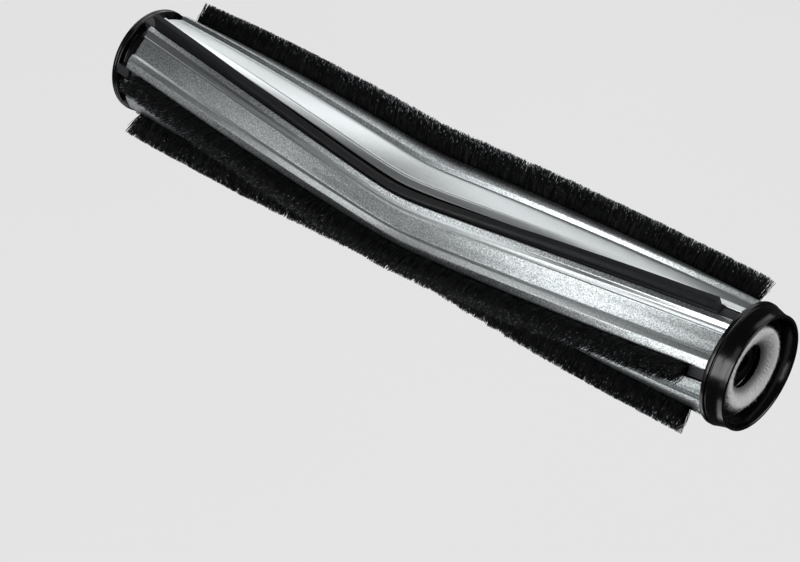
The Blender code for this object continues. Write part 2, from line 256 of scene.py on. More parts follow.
def wear(made, paint):
    """Gives a piece its one material."""
    made.data.materials.clear()
    made.data.materials.append(paint.material)
    return made


def grey(level):
    """A neutral colour."""
    return (level, level, level, 1.0)


def channel_corners(channel):
    """The corners of one T channel in the order of rising angle, with the rounding of each."""
    half = np.array([NECK_HALF, NECK_HALF, SLOT_HALF, SLOT_HALF])
    height = np.array([RAIL_RADIUS, SLOT_ROOF, SLOT_ROOF, SLOT_FLOOR])
    rounding = np.array([0.45, 0.1, 0.2, 0.2]) * MM
    both_halves = np.concatenate([-half, half[::-1]])
    both_heights = np.concatenate([height, height[::-1]])
    both_roundings = np.concatenate([rounding, rounding[::-1]])
    return list(zip(*in_channel(channel, both_halves, both_heights), both_roundings))


def scored_line(angle, radius, depth=0.14 * MM, width=0.9):
    """Three corners of a fine groove that runs along the profile at an angle."""
    fine = 0.05 * MM
    return [
        (angle - width / 2, radius, fine),
        (angle, radius - depth, fine),
        (angle + width / 2, radius, fine),
    ]


def polished_hollow(first):
    """The panel from a blade's rail to the next bristle strip's rail: a smooth, almost flat sweep.

    At a share s of the way across, the sweep lies 0.9 mm (1 - s)^2 + 0.25 mm s^2 over the panel radius.
    """
    angles = np.linspace(first + 16.6, first + 40.6, 15)
    share = np.linspace(0.0, 1.0, 15)
    sweep_radius = PANEL_RADIUS + 0.9 * MM * (1 - share) ** 2 + 0.25 * MM * share**2
    sweep = [(a, r, 0.5 * MM) for a, r in zip(angles, sweep_radius)]
    rail = [
        (first + 10.0, RAIL_RADIUS, 1.0 * MM),
        (first + 14.4, RAIL_RADIUS - 0.1 * MM, 0.3 * MM),
        *scored_line(first + 15.4, RAIL_RADIUS - 0.7 * MM),
    ]
    crest = [
        (first + 42.0, RAIL_RADIUS, 0.35 * MM),
        (first + 50.0, RAIL_RADIUS + 0.02 * MM, 1.0 * MM),
    ]
    return rail + sweep + crest


def narrow_panel(first):
    """The panel between two bristle strips of a pair."""
    return [
        (first + 79.0, RAIL_RADIUS + 0.02 * MM, 1.0 * MM),
        *scored_line(first + 85.0, RAIL_RADIUS),
        (first + 88.0, RAIL_RADIUS, 0.3 * MM),
        (first + 89.8, PANEL_RADIUS, 0.4 * MM),
        (first + 103.5, PANEL_RADIUS, 0.4 * MM),
        (first + 105.0, RAIL_RADIUS, 0.3 * MM),
    ]


def blasted_flat(first):
    """The wide flat panel from a bristle strip to the next blade, with a sloping wall and a narrow ledge."""
    return [
        (first + 125.5, RAIL_RADIUS, 0.5 * MM),
        (first + 131.0, RAIL_RADIUS, 0.3 * MM),
        (first + 136.8, PANEL_RADIUS + 1.1 * MM, 0.2 * MM),
        (first + 138.2, PANEL_RADIUS, 0.25 * MM),
        (first + 149.0, PANEL_RADIUS - 0.16 * MM, 1.0 * MM),
        (first + 159.4, PANEL_RADIUS, 0.12 * MM),
        (first + 160.3, PANEL_RADIUS + 0.75 * MM, 0.12 * MM),
        *scored_line(first + 161.6, PANEL_RADIUS + 0.85 * MM, 0.09 * MM),
        (first + 165.0, PANEL_RADIUS + 1.0 * MM, 0.2 * MM),
        (first + 168.0, RAIL_RADIUS, 0.3 * MM),
        (first + 171.0, RAIL_RADIUS + 0.02 * MM, 1.0 * MM),
    ]


def profile_outline():
    """The whole outline: three channels and three panels, repeated after half a turn."""
    corners = []
    for first in (0.0, 180.0):
        corners += channel_corners(first + BLADE_CHANNELS[0])
        corners += polished_hollow(first)
        corners += channel_corners(first + BRISTLE_CHANNELS[0])
        corners += narrow_panel(first)
        corners += channel_corners(first + BRISTLE_CHANNELS[1])
        corners += blasted_flat(first)
    return round_corners(*(np.array(column) for column in zip(*corners)))


def grain_at(angle):
    """How much blasted grain the surface has at an angle of the profile, with short ramps between bands.

    The hollow has almost none, and the walls and ledge beside the wide flat have less than the flat.
    """
    bands = (
        (0.0, 39.8, 0.08),
        (41.2, 120.4, 1.0),
        (120.9, 122.3, 0.1),
        (122.8, 130.8, 1.0),
        (131.4, 138.0, 0.5),
        (138.5, 159.2, 1.0),
        (159.6, 167.8, 0.3),
        (168.2, 180.0, 1.0),
    )
    edge = np.array([band[:2] for band in bands]).reshape(-1)
    grain = np.repeat([band[2] for band in bands], 2)
    return np.interp(np.mod(angle, 180.0), edge, grain)


def carry_number(made, name, values):
    """Stores one number for each point of a mesh, for its material to read."""
    layer = made.data.attributes.new(name, "FLOAT", "POINT")
    layer.data.foreach_set("value", np.asarray(values, np.float32))


def mesh_points(made):
    """All the points of a mesh as one array."""
    flat = np.empty(len(made.data.vertices) * 3)
    made.data.vertices.foreach_get("co", flat)
    return flat.reshape(-1, 3)


def make_core():
    """Carries the outline along X, turned by the twist, with a plain round bore inside it.

    The cut ends have a small rounded chamfer c: at a distance d from an end the outline is drawn in by
    c (1 - d / c)^2.
    """
    chamfer_rows = np.array([0.0, 0.1, 0.3]) * MM
    middle = np.linspace(CORE_LEFT + 0.5 * MM, CORE_RIGHT - 0.5 * MM, 141)
    x = np.concatenate([CORE_LEFT + chamfer_rows, middle, (CORE_RIGHT - chamfer_rows)[::-1]])[:, None]
    from_end = np.minimum(x - CORE_LEFT, CORE_RIGHT - x)
    inset = CHAMFER * np.clip(1 - from_end / CHAMFER, 0.0, 1.0) ** 2
    angle, radius = profile_outline()
    outer = around(x, APEX_ANGLE + twist(x) + angle[None, :], radius[None, :] - inset)
    made = grid_object("core_profile_fine", outer, close_columns=True)
    bore_angle = np.linspace(0.0, 360.0, 96, endpoint=False)
    bore = grid_object("core_bore", around(x, bore_angle[None, :], BORE_RADIUS), close_columns=True)
    work = bmesh.new()
    work.from_mesh(made.data)
    work.from_mesh(bore.data)
    work.to_mesh(made.data)
    work.free()
    bpy.data.objects.remove(bore)
    fill_open_ends(made)
    made.data.set_sharp_from_angle(angle=math.radians(38.0))
    points = mesh_points(made)
    place = np.degrees(np.arctan2(points[:, 2], -points[:, 1]))
    lane = np.mod(place - APEX_ANGLE - twist(points[:, 0]), 360.0)
    carry_number(made, "grain", grain_at(lane))
    carry_number(made, "lane", lane)
    return made


def aluminium_paint():
    """Bright aluminium, blasted where the mesh carries grain and polished elsewhere.

    Faint lines from the extrusion die follow the twist, because they are noise over the mesh's own angle.
    """
    paint = Paint("bright_aluminium", Metallic=1.0)
    grain = paint.attribute("grain")
    speck = paint.noise(3000.0, 2.0, 0.8)
    coarse = paint.noise(1300.0, 2.0, 0.5)
    cloud = paint.noise(45.0, 3.0)
    die_line = paint.noise_over(paint.attribute("lane"), 0.9, 4.0, 0.75)
    sparkle = (speck * 0.75 + coarse * 0.25).between(0.38, 0.62)
    dull = paint.blend(sparkle, (0.31, 0.34, 0.35, 1.0), (0.94, 0.99, 1.0, 1.0))
    bright = paint.blend(cloud * 0.4 + die_line * 0.6, (0.70, 0.74, 0.75, 1.0), (0.85, 0.89, 0.90, 1.0))
    paint.feed("Base Color", paint.blend(grain, bright, dull))
    paint.feed("Roughness", 0.22 + grain * 0.06 + cloud * 0.05 + die_line * 0.08)
    paint.bump(grain * (speck * 0.7 + coarse * 0.3) + die_line * 0.26, 0.00011, 0.8)
    return paint


core = wear(make_core(), aluminium_paint())
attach(core, "roller")
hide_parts("core_profile")


# ------------------------------------------------------------
# Bristle carriers. Extruded strips of dark grey plastic with a T foot, which hold the tufts and slide into
# the channels from one end. They are almost hidden between the rails.
# ------------------------------------------------------------
FIT_GAP = 0.3 * MM
STRIP_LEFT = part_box("bristle_carrier_1")[0].x
STRIP_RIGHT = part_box("bristle_carrier_1")[1].x
CARRIER_TOP = 18.4 * MM


def make_strip(name, channel, half, height, left, right, rounding=0.12 * MM, rows=97):
    """Carries a strip's outline, mirrored about the channel's middle line, along the twisted channel."""
    both_halves = np.concatenate([half, -half[::-1]])
    both_heights = np.concatenate([height, height[::-1]])
    angle, radius = in_channel(0.0, both_halves, both_heights)
    angle, radius = round_corners(angle, radius, np.full(len(angle), rounding))
    x = np.linspace(left, right, rows)[:, None]
    points = around(x, channel + APEX_ANGLE + twist(x) + angle[None, :], radius[None, :])
    made = grid_object(name, points, close_columns=True)
    fill_open_ends(made)
    made.data.set_sharp_from_angle(angle=math.radians(40.0))
    return made


def foot_corners():
    """Half widths and heights of the T foot, from the channel's floor up to its neck."""
    half = np.array([SLOT_HALF - FIT_GAP, SLOT_HALF - FIT_GAP, NECK_HALF - FIT_GAP])
    height = np.array([SLOT_FLOOR + FIT_GAP, SLOT_ROOF - FIT_GAP, SLOT_ROOF - FIT_GAP])
    return half, height


def dark_plastic_paint():
    """Dark grey moulded plastic with a fine spark-eroded grain."""
    paint = Paint("dark_grey_plastic")
    fine = paint.noise(3200.0, 3.0, 0.6)
    cloud = paint.noise(90.0, 2.0)
    shade = fine * 0.5 + cloud * 0.5
    paint.feed("Base Color", paint.blend(shade, (0.014, 0.015, 0.017, 1.0), (0.034, 0.036, 0.040, 1.0)))
    paint.feed("Roughness", 0.42 + fine * 0.16)
    paint.bump(fine, 0.00003, 0.6)
    return paint


dark_plastic = dark_plastic_paint()
for number, channel in enumerate(BRISTLE_CHANNELS, start=1):
    foot_half, foot_height = foot_corners()
    half = np.append(foot_half, NECK_HALF - FIT_GAP)
    height = np.append(foot_height, CARRIER_TOP)
    carrier = make_strip(f"carrier_{number}", channel, half, height, STRIP_LEFT, STRIP_RIGHT)
    wear(carrier, dark_plastic)
    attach(carrier, "roller")
    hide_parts(f"bristle_carrier_{number}")


# ------------------------------------------------------------
# Bristles. Stiff black nylon, tufted closely into the carriers, cut to one length and fanned out a little
# towards the tips. The outermost ones splay past the ends of the strip.
# ------------------------------------------------------------
BRISTLE_TIP = 29.0 * MM
BRISTLE_COUNT = 12500
BRISTLE_SIDES = 3
TUFT_PITCH = 1.7 * MM
ROOT_HALF = 1.7 * MM
TIP_HALF = 3.4 * MM
RING_PLACES = (0.0, 0.55, 1.0)
SPLAY_FROM = 0.975
SPLAY_SLOPE = 80.0 * MM
# How far in from the left end each pile starts, and how strong the painted highlight on its cut tips is, set
# pile by pile for the light each pile gets.
LEFT_INSETS = (0.0, 0.0, 3.2 * MM, 5.5 * MM)
TIP_GLINT_SHARES = (1.0, 1.0, 0.95, 0.84)


def wander(values, rng, waves=7, shortest=3.0 * MM, longest=40.0 * MM):
    """A smooth random curve: the mean of sine waves from the shortest to the longest, in random phases."""
    lengths = np.geomspace(shortest, longest, waves)
    phases = rng.uniform(0.0, 2 * np.pi, waves)
    angle = 2 * np.pi * values[:, None] / lengths + phases
    return np.sin(angle).mean(axis=1)


def splay_at_ends(x, left, right):
    """How far the tips lean out past the last tufts: from nothing close to the ends up to 2 mm at them."""
    middle = (left + right) / 2
    share = np.abs(x - middle) / (right - middle)
    return np.sign(x - middle) * np.clip(share - SPLAY_FROM, 0.0, 1.0) * SPLAY_SLOPE


def bristle_spines(left, rng):
    """Root, middle and tip of every bristle as x, offset across the channel and height, one column each.

    Bristles stand in tufts that draw together and differ a little in lean and height. The outer ones lean
    outwards and end lower: by 0.5 mm times the square of their place across the pile, from -1 to 1, and by
    up to 6 mm more on the flanks, which are full of tips.
    """
    count = BRISTLE_COUNT
    x = rng.uniform(left + 0.3 * MM, STRIP_RIGHT - 0.3 * MM, count)
    tuft = np.round(x / TUFT_PITCH).astype(int)
    tuft_number = tuft - tuft.min()
    tuft_lean = rng.normal(0.0, 0.20 * MM, tuft_number.max() + 1)[tuft_number]
    tuft_rise = rng.normal(0.0, 0.09 * MM, tuft_number.max() + 1)[tuft_number]
    draw = (tuft * TUFT_PITCH - x) * 0.25
    across = rng.uniform(-1.0, 1.0, count)
    lean = draw + tuft_lean + wander(x, rng) * 1.0 * MM + rng.normal(0.0, 0.5 * MM, count)
    lean += splay_at_ends(x, left, STRIP_RIGHT)
    fan = across * TIP_HALF + wander(x, rng) * 0.6 * MM + rng.normal(0.0, 0.3 * MM, count)
    fan = np.clip(fan, -TIP_HALF - 0.6 * MM, TIP_HALF + 0.6 * MM)
    drop = 0.5 * MM * across**2 + rng.gamma(1.2, 0.25 * MM, count)
    drop += rng.uniform(0.0, 6.0 * MM, count) * np.clip(np.abs(across) * 2.6 - 1.6, 0.0, 1.0)
    tip = BRISTLE_TIP - 0.35 * MM + tuft_rise - drop
    share = np.array(RING_PLACES)
    bulge = np.array([0.0, 1.0, 0.0])
    sway_x = rng.normal(0.0, 0.32 * MM, count)[:, None] * bulge
    sway_across = (across * 0.5 * MM + rng.normal(0.0, 0.15 * MM, count))[:, None] * bulge
    length_share = np.clip((tip - CARRIER_TOP) / (BRISTLE_TIP - CARRIER_TOP), 0.0, 1.0)
    spine_x = x[:, None] + (lean * length_share)[:, None] * share + sway_x
    spine_half = (across * ROOT_HALF)[:, None] * (1 - share) + (fan * length_share**0.5)[:, None] * share
    spine_half += sway_across
    spine_height = CARRIER_TOP * (1 - share) + tip[:, None] * share
    return x, spine_x, spine_half, spine_height


def make_bristles(name, channel, left, tip_glint_share, seed):
    """Thin three-sided spikes in one mesh: rings at root, middle and tip, each ring a small triangle."""
    rng = np.random.default_rng(seed)
    count = BRISTLE_COUNT
    points_each = len(RING_PLACES) * BRISTLE_SIDES
    x, spine_x, spine_half, spine_height = bristle_spines(left, rng)
    thickness = rng.uniform(0.07, 0.115, count)[:, None] * MM * np.array([1.0, 0.95, 0.85])
    corner = np.arange(BRISTLE_SIDES) * 2 * np.pi / BRISTLE_SIDES
    turn = rng.uniform(0.0, 2 * np.pi, count)[:, None, None] + corner
    ring_x = spine_x[..., None] + thickness[..., None] * np.cos(turn)
    ring_half = spine_half[..., None] + thickness[..., None] * np.sin(turn)
    ring_height = np.broadcast_to(spine_height[..., None], ring_x.shape)
    angle, radius = in_channel(channel, ring_half, ring_height)
    radius = np.minimum(radius, BRISTLE_TIP + 0.02 * MM)
    root_turn = (APEX_ANGLE + twist(x))[:, None, None]
    points = around(ring_x, root_turn + angle, radius)
    first = np.arange(count)[:, None] * points_each
    side = np.arange(BRISTLE_SIDES)
    after = (side + 1) % BRISTLE_SIDES
    low = np.stack([side, after, after + BRISTLE_SIDES, side + BRISTLE_SIDES], axis=-1)
    quads = np.concatenate([low, low + BRISTLE_SIDES]).reshape(-1)
    walls = (first + quads[None, :]).reshape(-1, 4)
    tops = (first + (side + 2 * BRISTLE_SIDES)[None, :]).reshape(-1, 3)
    roots = (first + side[None, ::-1]).reshape(-1, 3)
    mesh = bpy.data.meshes.new(name)
    mesh.from_pydata(points.reshape(-1, 3).tolist(), [], walls.tolist() + tops.tolist() + roots.tolist())
    mesh.polygons.foreach_set("use_smooth", np.full(len(mesh.polygons), True))
    made = add_object(name, mesh)
    # Each bristle's random tone, scaled by its pile's share of painted tip highlight.
    shade = np.repeat(rng.uniform(0.0, 1.0, count) * tip_glint_share, points_each)
    carry_number(made, "shade", shade)
    carry_number(made, "reach", np.tile(np.repeat(RING_PLACES, BRISTLE_SIDES), count))
    return made


def bristle_paint():
    """Black nylon with a soft shine; the cut tips of some bristles carry a pale grey painted highlight for
    the light they catch.
    """
    paint = Paint("black_nylon_bristle", Specular_IOR_Level=0.28)
    shade = paint.attribute("shade")
    reach = paint.attribute("reach")
    # Painted highlight: pale grey on the ends of some bristles, standing for light caught by the tips.
    painted_tip_glint = reach.between(0.90, 0.97) * shade.between(0.68, 1.0)
    lighter = shade.between(0.95, 0.99) * 0.06
    pale = painted_tip_glint * 0.9 + lighter
    paint.feed("Base Color", paint.blend(pale, (0.0015, 0.0022, 0.003, 1.0), (0.60, 0.65, 0.69, 1.0)))
    paint.feed("Roughness", 0.34 + shade * 0.2)
    return paint


def make_pile_heart(name, channel, left):
    """The dark mass of close-packed bristles inside the pile, narrower and shorter than the fibres; its
    near-black colour is painted shade.
    """
    half = np.array([1.35, 1.5, 1.7, 1.3]) * MM
    height = np.array([CARRIER_TOP - 0.05 * MM, RAIL_RADIUS, BRISTLE_TIP - 3.6 * MM, BRISTLE_TIP - 2.8 * MM])
    return make_strip(name, channel, half, height, left + 0.8 * MM, STRIP_RIGHT - 0.8 * MM, rounding=0.4 * MM)


def pile_heart_paint():
    """Painted shade: near black, with fine upright streaks like packed fibres in shadow."""
    paint = Paint("packed_bristle_shadow")
    streak = paint.noise(1400.0, 2.0, 0.6, paint.stretched(1.0, 0.15, 0.15))
    # Painted shade: the packed inside of the pile is coloured near black.
    paint.feed("Base Color", paint.blend(streak, (0.001, 0.001, 0.0015, 1.0), (0.004, 0.004, 0.005, 1.0)))
    paint.feed("Roughness", 0.7 + streak * 0.2)
    paint.bump(streak, 0.0002, 0.8)
    return paint


bristle_black = bristle_paint()
painted_heart_shade = pile_heart_paint()
for number, channel in enumerate(BRISTLE_CHANNELS, start=1):
    pile_left = STRIP_LEFT + LEFT_INSETS[number - 1]
    tip_glint_share = TIP_GLINT_SHARES[number - 1]
    seed = 40 + number
    pile = make_bristles(f"bristles_{number}", channel, pile_left, tip_glint_share, seed)
    heart = make_pile_heart(f"bristle_mass_{number}", channel, pile_left)
    wear(pile, bristle_black)
    wear(heart, painted_heart_shade)
    for piece in (pile, heart):
        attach(piece, "roller")
    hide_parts(f"bristle_pile_{number}")


# ------------------------------------------------------------
# Rubber blades. Two wipers of dark grey rubber, each extruded in one piece with its T foot. The right end
# of a blade is trimmed at a slant, short of the cap.
# ------------------------------------------------------------
BLADE_TIP = 24.6 * MM
TRIM_LENGTH = 0.7 * MM
TRIM_RUN = 6 * MM


def make_blade(name, channel):
    """The foot, neck and tapered lip as one outline, carried along the channel; the lip's end is slanted."""
    foot_half, foot_height = foot_corners()
    lip_half = np.array([NECK_HALF - FIT_GAP, 1.3 * MM, 1.15 * MM, 1.0 * MM])
    lip_height = np.array([RAIL_RADIUS - 0.7 * MM, RAIL_RADIUS, 22.5 * MM, BLADE_TIP])
    half = np.concatenate([foot_half, lip_half])
    height = np.concatenate([foot_height, lip_height])
    made = make_strip(name, channel, half, height, STRIP_LEFT, STRIP_RIGHT, rounding=0.16 * MM)
    points = mesh_points(made)
    reach = np.hypot(points[:, 1], points[:, 2])
    near_end = np.clip((points[:, 0] - STRIP_RIGHT + TRIM_RUN) / TRIM_RUN, 0.0, 1.0)
    above = np.clip((reach - RAIL_RADIUS) / (BLADE_TIP - RAIL_RADIUS), 0.0, 1.0)
    points[:, 0] -= near_end * above * TRIM_LENGTH
    made.data.vertices.foreach_set("co", points.reshape(-1))
    carry_number(made, "reach", above)
    return made


def rubber_paint():
    """Dark rubber with a dull bloom, faint flow lines along the blade and a scuffed tip."""
    paint = Paint("dark_rubber", Specular_IOR_Level=0.3)
    reach = paint.attribute("reach")
    bloom = paint.noise(140.0, 4.0)
    fine = paint.noise(2600.0, 3.0)
    flow = paint.noise(800.0, 2.0, 0.5, paint.stretched(0.03, 1.0, 1.0))
    tone = bloom * 0.5 + fine * 0.25 + reach.between(0.8, 1.0) * 0.15
    paint.feed("Base Color", paint.blend(tone, (0.004, 0.004, 0.005, 1.0), (0.020, 0.021, 0.023, 1.0)))
    paint.feed("Roughness", 0.46 + bloom * 0.14)
    paint.bump(flow * 0.6 + fine * 0.4, 0.00004, 0.7)
    return paint


rubber = rubber_paint()
for number, channel in enumerate(BLADE_CHANNELS, start=1):
    blade = wear(make_blade(f"blade_{number}", channel), rubber)
    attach(blade, "roller")
    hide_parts(f"rubber_blade_{number}")


# ------------------------------------------------------------
# Right end cap. Glossy black plastic, moulded with a collar against the profile, a rounded lip round a deep
# recess and a cup for the bearing. Its matt keys fill the ends of the channels and turn it with the profile.
# ------------------------------------------------------------
CAP_RADIUS = 20.0 * MM
COLLAR_RADIUS = 21.3 * MM
COLLAR_BACK = CORE_RIGHT + FIT_GAP
HALF_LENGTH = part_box("right_end_cap")[1].x
RECESS_FLOOR = 132.9 * MM
RECESS_RADIUS = 18.4 * MM
BEARING_X = 127.0 * MM
BEARING_HALF = 3.5 * MM
BEARING_OUTER = 11.0 * MM
ROUND_STEPS = 160


def turn_corners(name, corners, steps=ROUND_STEPS):
    """Turns a closed half section of (x, radius, rounding) corners round the roller's axis."""
    x, radius, rounding = (np.array(column) for column in zip(*corners))
    curve = curve_corners(np.stack([x, radius], axis=-1), rounding, steps=6)
    degrees = np.linspace(0.0, 360.0, steps, endpoint=False)[:, None]
    points = around(curve[None, :, 0], degrees, np.maximum(curve[None, :, 1], 0.0))
    made = grid_object(name, points, close_rows=True, close_columns=True)
    made.data.set_sharp_from_angle(angle=math.radians(50.0))
    return made


def right_cap_corners():
    """Corners of the cap's half section, from the cup's back edge over the collar and lip into the recess."""
    cup = BORE_RADIUS - FIT_GAP
    seat = BEARING_OUTER + FIT_GAP
    seat_floor = BEARING_X - BEARING_HALF - FIT_GAP
    clip_back = BEARING_X + BEARING_HALF + 0.05 * MM
    hole = 9.4 * MM
    fine = 0.1 * MM
    return [
        (seat_floor - 1.4 * MM, hole, fine),
        (seat_floor - 1.4 * MM, cup, 0.5 * MM),
        (COLLAR_BACK, cup, fine),
        (COLLAR_BACK, COLLAR_RADIUS, 0.4 * MM),
        (COLLAR_BACK + 1.5 * MM, COLLAR_RADIUS, 0.25 * MM),
        (COLLAR_BACK + 1.65 * MM, COLLAR_RADIUS - 0.55 * MM, fine),
        (COLLAR_BACK + 2.0 * MM, COLLAR_RADIUS - 0.55 * MM, fine),
        (COLLAR_BACK + 2.2 * MM, COLLAR_RADIUS - 0.3 * MM, 0.2 * MM),
        (HALF_LENGTH - 2.4 * MM, CAP_RADIUS - 0.02 * MM, 1.5 * MM),
        (HALF_LENGTH, CAP_RADIUS, 1.1 * MM),
        (HALF_LENGTH, RECESS_RADIUS + 0.55 * MM, 0.45 * MM),
        (HALF_LENGTH - 2.6 * MM, RECESS_RADIUS - 0.2 * MM, 1.6 * MM),
        (RECESS_FLOOR, RECESS_RADIUS - 0.5 * MM, 0.8 * MM),
        (RECESS_FLOOR, seat, 0.3 * MM),
        (clip_back + 1.6 * MM, seat, fine),
        (clip_back + 1.6 * MM, seat + 0.9 * MM, fine),
        (clip_back, seat + 0.9 * MM, fine),
        (clip_back, seat, fine),
        (seat_floor, seat, fine),
        (seat_floor, hole, fine),
    ]


def gloss_black_paint():
    """Glossy black plastic with faint moulding waves and fine handling scratches in its shine."""
    paint = Paint("gloss_black_plastic")
    wave = paint.noise(120.0, 2.0)
    dust = paint.noise(2600.0, 2.0, 0.7)
    scratch = paint.noise(1500.0, 2.0, 0.6, paint.stretched(1.0, 0.12, 0.12))
    mark = scratch.between(0.62, 0.72)
    tone = wave * 0.4 + dust.between(0.62, 0.8) * 0.4
    paint.feed("Base Color", paint.blend(tone, (0.0015, 0.0015, 0.002, 1.0), (0.006, 0.006, 0.0075, 1.0)))
    paint.feed("Roughness", 0.15 + wave * 0.07 + mark * 0.12)
    paint.bump(wave * 0.6 + mark * 0.05, 0.00012, 0.5)
    return paint


def make_keys(name, left, right):
    """One bar that follows each channel, all joined into one piece."""
    half = np.full(2, NECK_HALF - FIT_GAP)
    height = np.array([SLOT_FLOOR + FIT_GAP, RAIL_RADIUS - 0.6 * MM])
    work = bmesh.new()
    for channel in BLADE_CHANNELS + BRISTLE_CHANNELS:
        key = make_strip("key", channel, half, height, left, right, rounding=0.35 * MM, rows=12)
        work.from_mesh(key.data)
        bpy.data.objects.remove(key)
    mesh = bpy.data.meshes.new(name)
    work.to_mesh(mesh)
    work.free()
    return add_object(name, mesh)


gloss_black = gloss_black_paint()
right_cap = wear(turn_corners("right_cap", right_cap_corners()), gloss_black)
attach(right_cap, "roller")
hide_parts("right_end_cap")
right_keys = wear(make_keys("right_cap_keys", STRIP_RIGHT + FIT_GAP, COLLAR_BACK + 0.2 * MM), dark_plastic)
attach(right_keys, "roller")


# ------------------------------------------------------------
# Bearing. A common 8 x 22 x 7 mm ball bearing of ground steel in the cap's cup, with a nylon cage and thin
# dark shields, held by a spring ring. Its inner ring and the bush stay still on the machine's pin.
# ------------------------------------------------------------
PITCH_RADIUS = 7.75 * MM
BALL_RADIUS = 1.985 * MM
BALL_COUNT = 7
GROOVE_RADIUS = BALL_RADIUS + FIT_GAP
BEARING_BORE = 4.0 * MM
SHIELD_HOLE = 6.5 * MM
SHIELD_RIM = 9.1 * MM
RING_MARKS = 52000.0


def steel_paint(name, level, roughness):
    """Turned and ground steel: rings of tool marks round the roller's axis and a few dull spots."""
    paint = Paint(name, Metallic=1.0)
    across = {0: paint.place(), 1: (0.0, 1.0, 1.0)}
    flat = paint.add("ShaderNodeVectorMath", {"operation": "MULTIPLY"}, across)
    radius = paint.add("ShaderNodeVectorMath", {"operation": "LENGTH"}, {0: flat}, "Value")
    rings = radius.math("SINE", radius * RING_MARKS) * 0.5 + 0.5
    spots = paint.noise(700.0, 3.0)
    tone = spots * 0.6 + rings * 0.25
    paint.feed("Base Color", paint.blend(tone, grey(level * 0.72), grey(level)))
    paint.feed("Roughness", roughness + spots * 0.12)
    paint.bump(rings * 0.5 + spots * 0.5, 0.00001, 0.6)
    return paint


def ring_corners(sign, wall):
    """Half section of a bearing ring; sign is 1 for the outer ring, -1 for the inner.

    Its race is an arc of the groove's radius round the middle of a ball.
    """
    across = np.linspace(-1.6, 1.6, 9) * MM
    race = PITCH_RADIUS + sign * np.sqrt(GROOVE_RADIUS**2 - across**2)
    groove = [(BEARING_X + a, r, 0.05 * MM) for a, r in zip(across, race)]
    left = BEARING_X - BEARING_HALF
    right = BEARING_X + BEARING_HALF
    edge = 0.25 * MM
    outside = [(right, race[-1], edge), (right, wall, edge), (left, wall, edge), (left, race[0], edge)]
    return groove + outside


def sphere_points(centre, radius, rows=24, columns=32):
    """A ball: latitude runs from pole to pole along the rows, longitude along the columns."""
    latitude = np.linspace(-np.pi / 2, np.pi / 2, rows)[:, None]
    longitude = np.linspace(0.0, 2 * np.pi, columns, endpoint=False)[None, :]
    x = np.cos(latitude) * np.cos(longitude)
    y = np.cos(latitude) * np.sin(longitude)
    z = np.sin(latitude) * np.ones_like(longitude)
    return np.stack([x, y, z], axis=-1) * radius + np.asarray(centre)


def place_turned(name, corners, paint, body, node):
    """Turns one round piece, paints it and puts it in place of its plain solid."""
    made = wear(turn_corners(name, corners, steps=96), paint)
    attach(made, body)
    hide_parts(node)
    return made


steel = steel_paint("ground_steel", 0.66, 0.20)
outer_ring = ring_corners(1, BEARING_OUTER)
inner_ring = ring_corners(-1, BEARING_BORE)
place_turned("outer_ring", outer_ring, steel, "roller", "bearing_outer_ring")
place_turned("inner_ring", inner_ring, steel, "holder", "bearing_inner_ring")
for number in range(BALL_COUNT):
    angle = 360.0 * number / BALL_COUNT
    ball_points = sphere_points(around(BEARING_X, angle, PITCH_RADIUS), BALL_RADIUS)
    ball = wear(grid_object(f"ball_{number + 1}", ball_points, close_columns=True), steel)
    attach(ball, "ball_set")
    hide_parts(f"bearing_ball_{number + 1}")


def nylon_paint():
    """Grey glass-filled nylon, slightly mottled and dull."""
    paint = Paint("grey_nylon")
    mottle = paint.noise(900.0, 4.0)
    paint.feed("Base Color", paint.blend(mottle, (0.24, 0.25, 0.26, 1.0), (0.36, 0.37, 0.38, 1.0)))
    paint.feed("Roughness", 0.45 + mottle * 0.2)
    paint.bump(mottle, 0.00003, 0.6)
    return paint


wear(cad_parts["bearing_cage"], nylon_paint())

# Near-black steel: the finish of the shields and the spring ring, and also painted shade deep in the hole.
shaded_shield_steel = steel_paint("phosphated_steel_and_shade", 0.01, 0.55)
for name, offset in (("bearing_shield_left", -3.4), ("bearing_shield_right", 3.1)):
    left = BEARING_X + offset * MM
    fold = 0.12 * MM
    shield_corners = [
        (left, SHIELD_HOLE, fold),
        (left, SHIELD_RIM, fold),
        (left + 0.3 * MM, SHIELD_RIM, fold),
        (left + 0.3 * MM, SHIELD_HOLE, fold),
    ]
    place_turned(name + "_fine", shield_corners, shaded_shield_steel, "roller", name)

wear(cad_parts["retaining_ring"], shaded_shield_steel)


# ------------------------------------------------------------
# Bush. Blackened steel, its near-black colour also painted shade for the deep hole, pressed into the
# bearing's inner ring, with a collar and a blind hole that takes the machine's pin. The floor of the hole is
# domed, so that the pin rests on a point.
# ------------------------------------------------------------
BUSH_HOLE = 3.1 * MM


def bush_corners():
    """Half section of the bush, from the middle of its back face round to the domed floor of its hole."""
    body = BEARING_BORE - FIT_GAP
    back = BEARING_X - BEARING_HALF - 0.5 * MM
    collar = BEARING_X + BEARING_HALF + FIT_GAP
    front = collar + 1.0 * MM
    rim = 5.6 * MM
    edge = 0.2 * MM
    return [
        (back, 0.0, 0.0),
        (back, body, edge),
        (collar, body, 0.05 * MM),
        (collar, rim, edge),
        (front, rim, edge),
        (front, BUSH_HOLE, 0.35 * MM),
        (back + 1.5 * MM, BUSH_HOLE, 0.1 * MM),
        (back + 1.5 * MM, 1.2 * MM, 0.3 * MM),
        (back + 2.3 * MM, 0.0, 0.0),
    ]


# Near black: the bush's blackened finish, and also painted shade deep in the hole.
shaded_bush_steel = steel_paint("blackened_steel_and_shade", 0.012, 0.5)
place_turned("pin_bush", bush_corners(), shaded_bush_steel, "holder", "bearing_bush")


